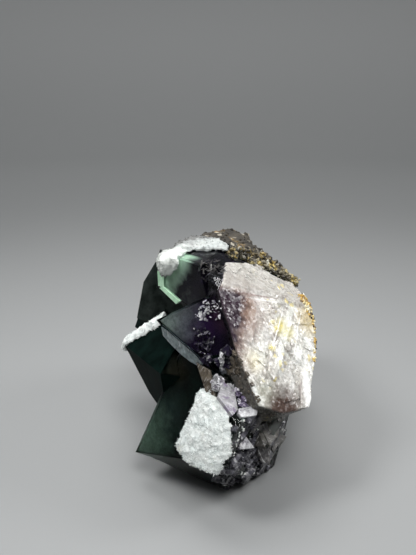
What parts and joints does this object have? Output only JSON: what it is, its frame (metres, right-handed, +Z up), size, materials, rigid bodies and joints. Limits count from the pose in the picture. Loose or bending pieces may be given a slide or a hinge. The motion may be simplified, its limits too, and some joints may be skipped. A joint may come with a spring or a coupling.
{
  "type": "fluorite crystal cluster",
  "caption": "Natural cluster of intergrown dark green and violet octahedral crystals with a pale cleaved face, white crusts and brown matrix rock behind.",
  "frame": {"origin": "under the middle of the specimen's bounding box, on the surface that it rests on", "axes": "+Z up, -Y towards the broken front that faces the viewer in the picture, +X to that viewer's right"},
  "size_m": [0.0638, 0.0958, 0.0672],
  "materials": {
    "fluorite": "glassy crystal, dark green to violet, pale where cleaved",
    "crust": "bristly white crystals, matt with small sparkles",
    "matrix": "rough granular rock, brown with ochre and white grains"
  },
  "bodies": {
    "root": {"fluorite": "fluorite", "crust_front": "crust", "crust_left": "crust", "crust_upper": "crust", "matrix": "matrix"}
  },
  "joints": []
}
